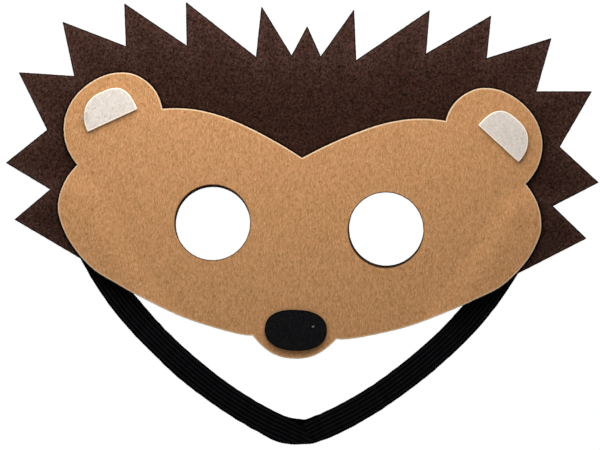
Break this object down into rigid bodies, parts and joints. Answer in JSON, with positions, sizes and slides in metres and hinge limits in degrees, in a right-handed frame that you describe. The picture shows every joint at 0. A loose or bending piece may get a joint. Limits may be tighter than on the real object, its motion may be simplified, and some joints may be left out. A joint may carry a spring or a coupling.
{
  "type": "hedgehog mask",
  "caption": "Flat felt dress-up mask of a hedgehog: spiked dark backing, tan face with ears and round eye holes, black nose, and an elastic head strap.",
  "frame": {"origin": "point of the backing's flat underside midway between the eyes, on the surface that the mask lies on", "axes": "+X across the mask to the right as seen from the front, +Y up the face towards the spines, +Z out of the face"},
  "size_m": [0.2224, 0.1644, 0.0058],
  "materials": {
    "brown_felt": "matt needled felt, fine short nap",
    "tan_felt": "matt needled felt, fine short nap",
    "white_felt": "matt needled felt, off-white",
    "black_felt": "matt needled felt, black",
    "black_elastic": "ribbed braided elastic, slight sheen"
  },
  "bodies": {
    "root": {"spine_backing": "brown_felt", "face_panel": "tan_felt", "inner_ear_left": "white_felt", "inner_ear_right": "white_felt", "nose": "black_felt", "strap": "black_elastic"}
  },
  "joints": []
}
